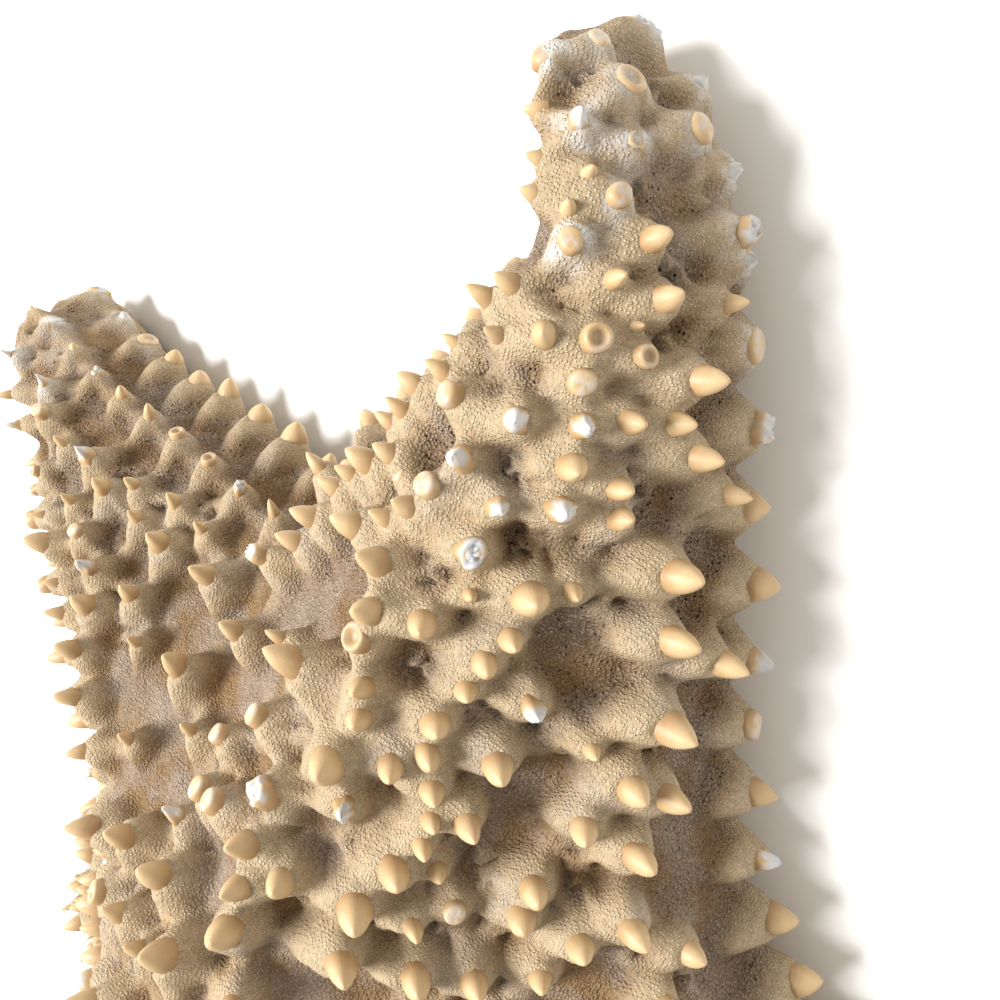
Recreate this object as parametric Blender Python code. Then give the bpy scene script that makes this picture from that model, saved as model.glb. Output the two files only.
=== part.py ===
import bpy
import bmesh
import math
import random
import numpy as np
from mathutils.geometry import delaunay_2d_cdt

# A dried cushion sea star lying flat, one grown body of five arms.
# Every size below is in millimetres, and the mesh is written in metres.

mm = 0.001
seed = 41

# The five arms go anticlockwise from the one along +Y, which is the arm seen whole.
arm_angle = [-1.5, 68, 137, 203, 266]
arm_reach = [118.5, 122, 115, 119, 113]
arm_girth = [1, 1.02, 1.04, 0.98, 0.93]
tip_lean = [-1, 4, -6, 5, 10]
lean_starts = 45
tip_hook = [-12.5, 0, 0, 0, 0]
hook_starts = 90
slim_left = [2, 0, 0, 0, 0]
slim_from, slim_to = 65, 105

# Half width of an arm at a distance from the middle, for an arm of common_reach.
common_reach = 118
arm_width = [(60, 28.6), (68, 25.2), (84, 17.3), (99, 12), (110, 9.2)]
tip_back = 4
tip_half = 7.5

# The hollow between one arm and the next: places by distance and direction.
hollows = [[(60, 32)], [(63.5, 102)], [(62, 170)], [(62, 234.5)], [(56.3, 306), (59, 320)]]

# Heights of the body, and how the rim turns over.
rim_height = 8
rim_turn = 9
under_turn = 7
roll_end = 2.0
shoulder = 5
crest_height = [(0, 36), (0.15, 34), (0.3, 29), (0.5, 22), (0.7, 15.5), (0.85, 10.5), (1, 6)]
crest_spread = [(0, 28), (0.25, 25), (0.5, 20.5), (0.6, 17.5), (0.72, 13.5), (0.84, 9.8), (1, 7)]
crest_fall = 0.75
crest_power = 1.7
crest_blend = 4.5
rim_count = 176

# Furrows under the arms, and the mouth.
furrow_half = 4.5
furrow_deep = 5
furrow_from = 14
furrow_stops_short = 12
furrow_stations = 7
furrow_end_half = 2.25
furrow_shallows = 0.09
mouth_half = 8
mouth_deep = 7
under_rows = [(3.0, 1.8), (7.0, 0)]
under_row_count = 76
under_row_gap = 1.5
under_row_slack = 0.3
flat_step = 20
flat_reach = 50
flat_gap = 7
flat_inside = 10

# Knobs: the foot is the granular collar, the height is from the skin to the point.
knob_foot = 3.5
knob_height = 6.2
knob_gap = 6.3
knob_lean = 0.6
knob_sizes = [0.75, 0.85, 0.95, 1.0, 1.1, 1.25]
spare_sizes = [0.7, 0.8, 0.9, 1.0]
spare_tries = 4000
spare_inward = 0.6
full_knob_foot = 2.9
knob_sides = 5
waist = 0.6
waist_up = 0.62
least_height = 0.7
foot_share = 0.47
rim_margin = 1.1
tip_wear = [(94, 1), (114, 0.5)]
wear_height = {"w": 1, "c": 0.9, "f": 0.6, "r": 0.55, "b": 0.68}
common_wear = "wwwwwwwwwwcfrb"
tip_end_wear = "wcffrb"
worn_from = 90

# How close the knobs may stand, as a share of the gap: those seen, those in rows and the odd ones.
seen_room = 0.36
second_row_room = 0.8
row_room = 0.86
spare_room = 0.8
seen_arm_room = 1.15
seen_from, seen_half = 15, 40
seen_inside = -3.5

# The rows along each arm: how many each side of the ridge, stations along, and how far they stray.
rows_each_side = 7
row_stations = 20
station_step = 1.02
row_step = 0.95
stray = 1.6

# The row round the edge, and the one inside it.
edge_knob_step = 8.4
edge_knob_foot = 3.3
edge_knob_height = 6.4
edge_size = (0.85, 1.15)
edge_row_in = -4.9
edge_wear = [(80, 1), (94, 0.75), (104, 0.5), (116, 0.45)]
second_row_in = 2.6
second_row_height = 0.85
second_row_size = (0.75, 1.0)
least_inside = 2.1

# Knobs seen on the arm along +Y: across the arm, out along it, their size, and how each has worn:
# w whole, c chipped at the point, f rubbed flat, r rubbed to a ring, b broken off.
seen_tip = [
    (-8.8, 115.6, 1.2, "f"), (-11, 112.5, 1.1, "f"), (-4.3, 113, 1.3, "r"), (2.3, 112.3, 1.4, "f"),
    (-5, 108.3, 1.1, "c"), (-1, 108.8, 0.8, "r"), (-2.2, 104.8, 0.8, "w"), (0.2, 103.8, 1.2, "f"),
    (-1.8, 101.9, 0.8, "w"), (3.8, 101.6, 1.1, "w"), (-0.4, 99.5, 1.0, "f"), (3.3, 97.6, 0.9, "w"),
    (9.7, 105.7, 1.6, "b"), (11.4, 99.1, 1.0, "w"), (-4.4, 102.6, 0.8, "w"), (-5.6, 105.5, 0.8, "w"),
    (-8.3, 109.4, 0.8, "w"),
]
seen_outer = [
    (7, 97.2, 1.1, "w"), (6.4, 94.7, 0.6, "w"), (7.8, 92.4, 1.0, "r"), (4.3, 92.6, 1.2, "r"),
    (1.4, 91.8, 1.1, "w"), (-2.2, 94.3, 0.9, "w"), (-4, 92.1, 1.0, "w"), (11.8, 91.7, 1.3, "w"),
    (-1.4, 90, 0.8, "w"), (5.3, 89.2, 1.0, "f"), (12.2, 87.5, 1.1, "w"), (9.4, 86.8, 1.0, "w"),
    (6.7, 85.8, 1.1, "c"), (15, 85.2, 1.2, "w"), (2.4, 84, 1.2, "c"), (-2.4, 82.9, 1.1, "f"),
    (7.5, 82, 1.2, "w"), (11.3, 80.8, 1.0, "w"),
]
seen_middle = [
    (0.2, 78.2, 1.2, "c"), (12.7, 78.2, 1.0, "w"), (8.4, 77.8, 1.3, "c"), (3.9, 76, 1.1, "c"),
    (-0.7, 74.4, 1.1, "f"), (18.4, 74.2, 1.3, "w"), (-7.5, 73.5, 1.0, "w"), (-5.3, 72.6, 0.7, "f"),
    (-1.9, 71.4, 1.0, "w"), (3.8, 71.2, 1.2, "b"), (12.8, 70.8, 0.9, "w"), (-10.8, 70.2, 1.1, "w"),
    (-4.2, 68.6, 0.8, "w"), (9.6, 68.7, 1.3, "w"), (21.2, 68.1, 1.3, "w"), (-6.9, 65.4, 1.2, "w"),
    (-1.9, 65.1, 1.2, "w"), (9.8, 64.4, 1.0, "w"), (-15.5, 64, 1.0, "w"), (3, 62.8, 1.3, "w"),
    (9, 61.3, 1.1, "w"), (-0.2, 61.3, 1.4, "w"), (24.4, 60.2, 1.5, "w"),
]
seen_inner = [
    (-17, 59.2, 1.1, "w"), (14.4, 58.4, 1.1, "c"), (-0.4, 57.7, 1.2, "r"), (8.8, 57.9, 1.0, "w"),
    (21.3, 56, 0.7, "w"), (-19, 54.5, 1.0, "w"), (1.2, 53.7, 1.4, "w"), (7.8, 53.6, 1.3, "w"),
    (25.3, 53.5, 1.2, "w"), (28.5, 52.6, 1.3, "w"), (14.1, 51.7, 1.2, "w"), (2, 50.7, 1.2, "w"),
    (8.5, 49.9, 1.1, "w"), (-5.1, 49.4, 1.4, "w"), (24.5, 48.4, 1.1, "w"), (6.2, 48, 1.3, "w"),
    (10.1, 46.8, 1.2, "w"), (29.3, 46.7, 1.2, "w"), (1.6, 45.2, 1.5, "w"), (14.1, 44.2, 1.4, "w"),
    (11.4, 43.2, 1.1, "w"),
]
seen_shoulder = [
    (4.4, 41.1, 1.1, "c"), (11.8, 40.4, 1.2, "w"), (-7.8, 40, 1.0, "f"), (32.7, 39.4, 1.2, "w"),
    (23.4, 39.2, 1.2, "w"), (-1.4, 37.6, 1.2, "b"), (14.4, 37.4, 0.9, "w"), (10.9, 36.4, 1.4, "w"),
    (23.9, 35.7, 1.1, "w"), (30, 35.7, 1.2, "w"), (18, 33.4, 0.9, "f"), (-0.6, 31.8, 1.4, "w"),
    (9.4, 31.8, 1.5, "w"), (15, 30.9, 1.0, "w"), (-13.8, 31, 1.0, "f"), (3, 30.7, 1.2, "w"),
    (28.6, 30.4, 1.0, "w"), (-7.3, 28.7, 1.2, "f"), (0.6, 28.1, 1.5, "w"), (22.9, 27, 1.2, "w"),
    (-11.5, 26.1, 1.1, "f"), (17.8, 25.8, 1.3, "w"), (10.7, 25.2, 1.5, "w"), (1.3, 22.8, 1.5, "w"),
    (-13, 21.2, 1.0, "c"), (-9.2, 17.5, 1.3, "w"), (-2.3, 15.1, 1.5, "w"),
]
seen_flanks = [
    (-6.3, 86.6, 0.7, "w"), (-5.8, 83.7, 0.9, "w"), (-8.6, 80.3, 1.0, "w"), (-9.5, 77.1, 1.0, "w"),
    (-10.9, 75, 0.9, "w"), (-13.5, 67.2, 0.9, "w"), (-22.7, 60.7, 1.0, "w"), (19.7, 82.4, 1.0, "w"),
    (26.5, 66.5, 1.2, "w"), (5.5, 66.8, 0.7, "w"),
]


def arm_axes(i):
    turn = math.radians(arm_angle[i])
    across = np.array([math.cos(turn), math.sin(turn)])
    along = np.array([-math.sin(turn), math.cos(turn)])
    return across, along


def towards(angle, distance):
    turn = math.radians(angle)
    return distance * np.array([-math.sin(turn), math.cos(turn)])


def sideways(i, s):
    reach = arm_reach[i]
    lean = np.clip((s - lean_starts) / (reach - lean_starts), 0, None) ** 2
    hook = np.clip((s - hook_starts) / (reach - hook_starts), 0, None) ** 2
    return tip_lean[i] * lean + tip_hook[i] * hook


def outline_marks():
    marks = []
    for i in range(5):
        across, along = arm_axes(i)
        reach = arm_reach[i]
        side = [(s * reach / common_reach, w * arm_girth[i]) for s, w in arm_width]
        tip = [(reach - tip_back, tip_half), (reach, 0), (reach - tip_back, -tip_half)]
        left = [(s, slim_left[i] * (slim_from < s < slim_to) - w) for s, w in reversed(side)]
        for s, w in side + tip + left:
            marks.append(across * (w + sideways(i, s)) + along * s)
        marks += [towards(angle, distance) for distance, angle in hollows[i]]
    return marks


def smooth_loop(marks, cuts):
    points = []
    count = len(marks)
    for i in range(count):
        a, b, c, d = marks[i - 1], marks[i], marks[(i + 1) % count], marks[(i + 2) % count]
        for k in range(cuts):
            t = k / cuts
            cubic = (3 * b - 3 * c + d - a) * t ** 3
            square = (2 * a - 5 * b + 4 * c - d) * t * t
            points.append(0.5 * (2 * b + (c - a) * t + square + cubic))
    return np.array(points)


outline = smooth_loop(outline_marks(), 8)


def edge_place(points):
    # The nearest place on the outline, the distance inwards and the inward direction.
    start = outline
    step = np.roll(outline, -1, 0) - start
    length = (step ** 2).sum(1)
    gap = points[:, None, :] - start
    t = np.clip((gap * step).sum(2) / length, 0, 1)
    near = start + t[..., None] * step
    far = ((points[:, None, :] - near) ** 2).sum(2)
    pick = far.argmin(1)
    row = np.arange(len(points))
    near = near[row, pick]
    inward = np.c_[-step[pick, 1], step[pick, 0]] / np.sqrt(length[pick])[:, None]
    offset = points - near
    side = np.where((offset * inward).sum(1) < 0, -1.0, 1.0)
    distance = np.sqrt(far[row, pick])
    clear = distance > 1e-4
    inward[clear] = offset[clear] / distance[clear, None] * side[clear, None]
    return near, distance * side, inward


def crest(points):
    # The arms' ridges, joined softly where they meet over the disc.
    heights = []
    for i in range(5):
        across, along = arm_axes(i)
        s = points @ along
        w = points @ across - sideways(i, s)
        u = np.clip(s / arm_reach[i], 0, 1)
        peak = np.interp(u, *zip(*crest_height))
        spread = np.interp(u, *zip(*crest_spread))
        w = np.hypot(w, np.minimum(s, 0))
        heights.append(peak * np.exp(-crest_fall * (w / spread) ** crest_power))
    heights = np.array(heights)
    top = heights.max(0)
    return top + crest_blend * np.log(np.exp((heights - top) / crest_blend).sum(0))


def upper_skin(points):
    near, distance, inward = edge_place(points)
    turn = np.clip((rim_turn - distance) / rim_turn, 0, roll_end)
    inside = np.where(distance < rim_turn, rim_turn * (1 - np.sin(turn)), distance)
    plan = near + inward * inside[:, None]
    rise = np.where(turn < math.pi / 2, shoulder + crest(plan), under_turn)
    height = rim_height + rise * np.cos(turn)
    return np.c_[plan, height]


def skin_normal(points):
    d = 0.4
    x = upper_skin(points + [d, 0]) - upper_skin(points - [d, 0])
    y = upper_skin(points + [0, d]) - upper_skin(points - [0, d])
    n = np.cross(x, y)
    return n / np.linalg.norm(n, axis=1)[:, None]


def even_steps(points, count, start):
    # Places at even steps along a closed loop, with the direction of travel at each.
    loop = np.vstack([points, points[:1]])
    run = np.r_[0, np.cumsum(np.hypot(*np.diff(loop, axis=0).T))]
    at = (np.arange(count) + start) * run[-1] / count
    on = np.c_[np.interp(at, run, loop[:, 0]), np.interp(at, run, loop[:, 1])]
    ahead = np.c_[np.interp(at + 0.5, run, loop[:, 0]), np.interp(at + 0.5, run, loop[:, 1])] - on
    return on, ahead / np.maximum(np.hypot(*ahead.T), 1e-6)[:, None], run[-1]


def edge_row(step, inwards, start):
    length = even_steps(outline, 10, 0)[2]
    on, ahead, length = even_steps(outline, int(length / step), start)
    return on + np.c_[-ahead[:, 1], ahead[:, 0]] * inwards


def knob_axis(points):
    # Knobs stand out from the skin, and lean further out on the flanks.
    axis = skin_normal(points)
    axis[:, :2] *= 1 + knob_lean
    return axis / np.linalg.norm(axis, axis=1)[:, None]


def knob_list():
    chance = random.Random(seed)
    wear_chance = random.Random(seed + 1)
    knobs = []
    tries = []
    for x, y in edge_row(edge_knob_step, edge_row_in, 0.5):
        far = math.hypot(x, y)
        size = chance.uniform(*edge_size) * np.interp(far, *zip(*edge_wear))
        wear = wear_chance.choice(common_wear if far < worn_from else tip_end_wear)
        knobs.append((x, y, edge_knob_foot, edge_knob_height * size, wear))
    seen_across, seen_along = arm_axes(0)
    for w, s, size, wear in seen_tip + seen_outer + seen_middle + seen_inner + seen_shoulder + seen_flanks:
        x, y = seen_across * w + seen_along * s
        worn = np.interp(s, *zip(*tip_wear))
        tries.append((x, y, size, knob_height * size * worn, seen_room, wear))
    for x, y in edge_row(edge_knob_step, second_row_in, 0.0):
        wear = wear_chance.choice(common_wear)
        size = chance.uniform(*second_row_size)
        height = knob_height * second_row_height * np.interp(math.hypot(x, y), *zip(*edge_wear))
        tries.append((x, y, size, height, second_row_room, wear))
    # Rows along each arm from the ridge outwards, then odd ones in the gaps that are left.
    for row in sorted(range(-rows_each_side, rows_each_side + 1), key=abs):
        for i in range(5):
            across, along = arm_axes(i)
            for k in range(row_stations):
                s = (k * station_step + (row % 2) / 2) * knob_gap + chance.uniform(-stray, stray)
                w = row * knob_gap * row_step + sideways(i, s) + chance.uniform(-stray, stray)
                x, y = across * w + along * s
                size = chance.choice(knob_sizes) * np.interp(s, *zip(*tip_wear))
                wear = wear_chance.choice(common_wear if s < worn_from else tip_end_wear)
                tries.append((x, y, size, knob_height * size, row_room, wear))
    for k in range(spare_tries):
        x, y = towards(chance.uniform(0, 360), chance.uniform(0, 1) ** spare_inward * common_reach)
        size = chance.choice(spare_sizes)
        tries.append((x, y, size, knob_height * size, spare_room, "w"))
    distance = edge_place(np.array([t[:2] for t in tries]))[1]
    for (x, y, size, height, room, wear), inside in zip(tries, distance):
        seen = room == seen_room
        if inside < (seen_inside if seen else least_inside):
            continue
        on_seen_arm = y > seen_from and abs(x) < seen_half
        if on_seen_arm and not seen:
            room = seen_arm_room
        gap = min(math.hypot(x - k[0], y - k[1]) for k in knobs)
        if gap > knob_gap * room:
            knobs.append((x, y, knob_foot * size, height, wear))
    return knobs


def trim_feet(knobs):
    # A foot never reaches past the middle of the gap to its neighbour.
    places = np.array([k[:2] for k in knobs])
    near, distance, inward = edge_place(places)
    rim_room = distance + rim_turn * (roll_end - 1) - rim_margin
    out = []
    for i, (x, y, foot, height, wear) in enumerate(knobs):
        gaps = np.hypot(*(places - places[i]).T)
        gaps[i] = 2 * common_reach
        foot_now = min(foot, gaps.min() * foot_share, rim_room[i])
        slim = least_height + (1 - least_height) * foot_now / foot
        out.append((x, y, foot_now, height * slim * wear_height[wear]))
    return out


def link(first, count, closed=True):
    pairs = [(first + k, first + k + 1) for k in range(count - 1)]
    return pairs + [(first + count - 1, first)] if closed else pairs


def pushed_out(amount, count):
    # The outline moved outwards by an amount, then cut into even steps.
    ahead = np.roll(outline, -1, 0) - np.roll(outline, 1, 0)
    ahead /= np.hypot(*ahead.T)[:, None]
    moved = outline + np.c_[ahead[:, 1], -ahead[:, 0]] * amount
    return even_steps(moved, count, 0)[0]


def triangles(flat, pairs):
    found = delaunay_2d_cdt([tuple(p) for p in flat], pairs, [], 1, 1e-5)
    back = [group[0] for group in found[3]]
    return [tuple(back[v] for v in face) for face in found[2]]


def upper_side(edge, rim):
    # The rim, then a ring of points round each knob, and the knobs drawn up from the rings.
    knobs = trim_feet(knob_list())
    flat = list(edge)
    pairs = link(0, rim_count)
    rings = []
    for x, y, foot, height in knobs:
        first = len(flat)
        start = math.atan2(y, x)
        for k in range(knob_sides):
            a = start + 2 * math.pi * k / knob_sides
            flat.append(np.array([x + foot * math.cos(a), y + foot * math.sin(a)]))
        pairs += link(first, knob_sides)
        rings.append(first)
    flat = np.array(flat)
    solid = rim + [tuple(p) for p in upper_skin(flat[rim_count:])]
    faces = []
    for face in triangles(flat, pairs):
        owner = {(v - rim_count) // knob_sides if v >= rim_count else -1 - v for v in face}
        if len(owner) > 1:
            faces.append(face)
    middles = np.array([k[:2] for k in knobs])
    for first, (x, y, foot, height), base, n in zip(rings, knobs, upper_skin(middles), knob_axis(middles)):
        ring = [first + k for k in range(knob_sides)]
        if foot >= full_knob_foot:
            upper = []
            for v in ring:
                spoke = np.array(solid[v]) - base
                reach = spoke - n * (spoke @ n)
                solid.append(tuple(base + n * height * waist_up + reach * waist))
                upper.append(len(solid) - 1)
            for k in range(knob_sides):
                m = (k + 1) % knob_sides
                faces.append((ring[k], ring[m], upper[m]))
                faces.append((ring[k], upper[m], upper[k]))
            ring = upper
        solid.append(tuple(base + n * height))
        point = len(solid) - 1
        for k in range(knob_sides):
            faces.append((ring[k], ring[(k + 1) % knob_sides], point))
    return solid, faces


def underside(rim, offset):
    # The same rim, the turn under, and five furrows that meet at the mouth.
    below = [np.array(p[:2]) for p in rim]
    solid = list(rim)
    pairs = link(0, rim_count)
    for inside, height in under_rows:
        for p in pushed_out(-inside, under_row_count):
            gap = np.hypot(*(np.array(below) - p).T).min()
            if gap > under_row_gap and edge_place(p[None, :])[1][0] > inside - under_row_slack:
                below.append(p)
                solid.append((p[0], p[1], height))
    below.append(np.array([0.0, 0.0]))
    solid.append((0, 0, mouth_deep))
    middle = len(below) - 1
    for i in range(5):
        p = towards(hollows[i][0][1], mouth_half)
        below.append(p)
        solid.append((p[0], p[1], 0))
    for i in range(5):
        across, along = arm_axes(i)
        stations = np.linspace(furrow_from, arm_reach[i] - furrow_stops_short, furrow_stations)
        for side in (0, -1, 1):
            first = len(below)
            for k, s in enumerate(stations):
                half = furrow_half if k < furrow_stations - 1 else furrow_end_half
                p = across * (side * half + sideways(i, s)) + along * s
                deep = furrow_deep * (1 - furrow_shallows * k) if side == 0 else 0
                below.append(p)
                solid.append((p[0], p[1], deep))
            pairs += link(first, furrow_stations, False)
            if side == 0:
                pairs.append((middle, first))
    for x in range(-flat_reach, flat_reach + 1, flat_step):
        for y in range(-flat_reach, flat_reach + 1, flat_step):
            p = np.array([x, y], float)
            gaps = np.hypot(*(np.array(below) - p).T)
            if gaps.min() > flat_gap and edge_place(p[None, :])[1][0] > flat_inside:
                below.append(p)
                solid.append((x, y, 0))
    keep = list(range(rim_count)) + [offset + k for k in range(len(below) - rim_count)]
    faces = [tuple(keep[v] for v in reversed(face)) for face in triangles(below, pairs)]
    return solid[rim_count:], faces


def build_body():
    edge = pushed_out(rim_turn * (roll_end - 1), rim_count)
    rim = [tuple(p) for p in upper_skin(edge)]
    solid, faces = upper_side(edge, rim)
    below, below_faces = underside(rim, len(solid))
    return solid + below, faces + below_faces


def make_material(name, colour, roughness):
    material = bpy.data.materials.new(name)
    material.use_nodes = True
    shader = material.node_tree.nodes["Principled BSDF"]
    shader.inputs["Base Color"].default_value = colour
    shader.inputs["Roughness"].default_value = roughness
    shader.inputs["Metallic"].default_value = 0
    return material


def main():
    for thing in list(bpy.data.objects):
        bpy.data.objects.remove(thing)
    solid, faces = build_body()
    points = np.array(solid, float)
    middle = (points.max(0) + points.min(0)) / 2
    points[:, :2] -= middle[:2]
    points[:, 2] -= points[:, 2].min()
    mesh = bpy.data.meshes.new("starfish")
    mesh.from_pydata([tuple(p * mm) for p in points], [], faces)
    mesh.update()
    body = bpy.data.objects.new("starfish", mesh)
    bpy.context.collection.objects.link(body)
    shape = bmesh.new()
    shape.from_mesh(mesh)
    bmesh.ops.recalc_face_normals(shape, faces=shape.faces)
    shape.to_mesh(mesh)
    shape.free()
    mesh.materials.append(make_material("dried skin", (0.56, 0.42, 0.26, 1), 0.75))
    print("faces", len(mesh.polygons), "middle moved", middle, "size mm", np.ptp(points, axis=0))


main()
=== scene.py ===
import math
import random
import bpy
import numpy as np
from mathutils import Matrix, Vector, noise


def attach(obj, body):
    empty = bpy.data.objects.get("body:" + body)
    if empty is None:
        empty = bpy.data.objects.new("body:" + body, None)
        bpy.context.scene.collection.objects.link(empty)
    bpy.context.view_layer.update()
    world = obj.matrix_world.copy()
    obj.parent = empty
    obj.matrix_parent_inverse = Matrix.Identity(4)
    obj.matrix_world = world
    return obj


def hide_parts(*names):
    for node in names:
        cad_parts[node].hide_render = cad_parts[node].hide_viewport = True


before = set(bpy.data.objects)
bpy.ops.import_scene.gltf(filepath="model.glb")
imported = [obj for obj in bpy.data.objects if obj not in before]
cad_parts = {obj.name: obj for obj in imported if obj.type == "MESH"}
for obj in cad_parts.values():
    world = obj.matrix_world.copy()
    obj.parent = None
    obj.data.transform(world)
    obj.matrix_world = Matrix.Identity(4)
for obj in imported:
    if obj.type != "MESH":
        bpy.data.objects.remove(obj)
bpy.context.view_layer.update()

mm = 0.001
quarterTurn = math.pi / 2
tiny = 1e-6


# The form of the body, the same as the solid's. All sizes are in millimetres.
bodyForm = {
    "armAngle": [-1.5, 68, 137, 203, 266],      # anticlockwise from +Y, seen from above
    "armReach": [118.5, 122, 115, 119, 113],
    "armGirth": [1, 1.02, 1.04, 0.98, 0.93],
    "tipLean": [-1, 4, -6, 5, 10],
    "leanStarts": 45,
    "tipHook": [-12.5, 0, 0, 0, 0],
    "hookStarts": 90,
    "slimLeft": [2, 0, 0, 0, 0],
    "slimSpan": (65, 105),
    "commonReach": 118,
    "armWidth": [(60, 28.6), (68, 25.2), (84, 17.3), (99, 12), (110, 9.2)],
    "tipBack": 4,
    "tipHalf": 7.5,
    "hollows": [[(60, 32)], [(63.5, 102)], [(62, 170)], [(62, 234.5)], [(56.3, 306), (59, 320)]],
    "rimHeight": 8,
    "rimTurn": 9,
    "underTurn": 7,
    "rollEnd": 2.0,
    "shoulder": 5,
    "crestHeight": [(0, 36), (0.15, 34), (0.3, 29), (0.5, 22), (0.7, 15.5), (0.85, 10.5), (1, 6)],
    "crestSpread": [(0, 28), (0.25, 25), (0.5, 20.5), (0.6, 17.5), (0.72, 13.5), (0.84, 9.8), (1, 7)],
    "crestFall": 0.75,
    "crestPower": 1.7,
    "crestBlend": 4.5,
}

# Where the knobs stand, how large they are and how they have worn.
knobPlan = {
    "seed": 41,
    "foot": 3.5,
    "height": 6.2,
    "gap": 6.3,
    "lean": 0.6,
    "sizes": [0.75, 0.85, 0.95, 1.0, 1.1, 1.25],
    "spareSizes": [0.7, 0.8, 0.9, 1.0],
    "spareTries": 4000,
    "spareInward": 0.6,
    "leastHeight": 0.7,
    "footShare": 0.47,
    "rimMargin": 1.1,
    "tipWear": [(94, 1), (114, 0.5)],
    "wearHeight": {"w": 1, "c": 0.9, "f": 0.6, "r": 0.55, "b": 0.68},
    "commonWear": "wwwwwwwwwwcfrb",
    "tipEndWear": "wcffrb",
    "wornFrom": 90,
    "seenRoom": 0.36,
    "secondRowRoom": 0.8,
    "rowRoom": 0.86,
    "spareRoom": 0.8,
    "seenArmRoom": 1.15,
    "seenFrom": 15,
    "seenHalf": 40,
    "seenInside": -3.5,
    "rowsEachSide": 7,
    "rowStations": 20,
    "stationStep": 1.02,
    "rowStep": 0.95,
    "stray": 1.6,
    "edgeStep": 8.4,
    "edgeFoot": 3.3,
    "edgeHeight": 6.4,
    "edgeSize": (0.85, 1.15),
    "edgeRowIn": -4.9,
    "edgeWear": [(80, 1), (94, 0.75), (104, 0.5), (116, 0.45)],
    "secondRowIn": 2.6,
    "secondRowHeight": 0.85,
    "secondRowSize": (0.75, 1.0),
    "leastInside": 2.1,
}

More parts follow.
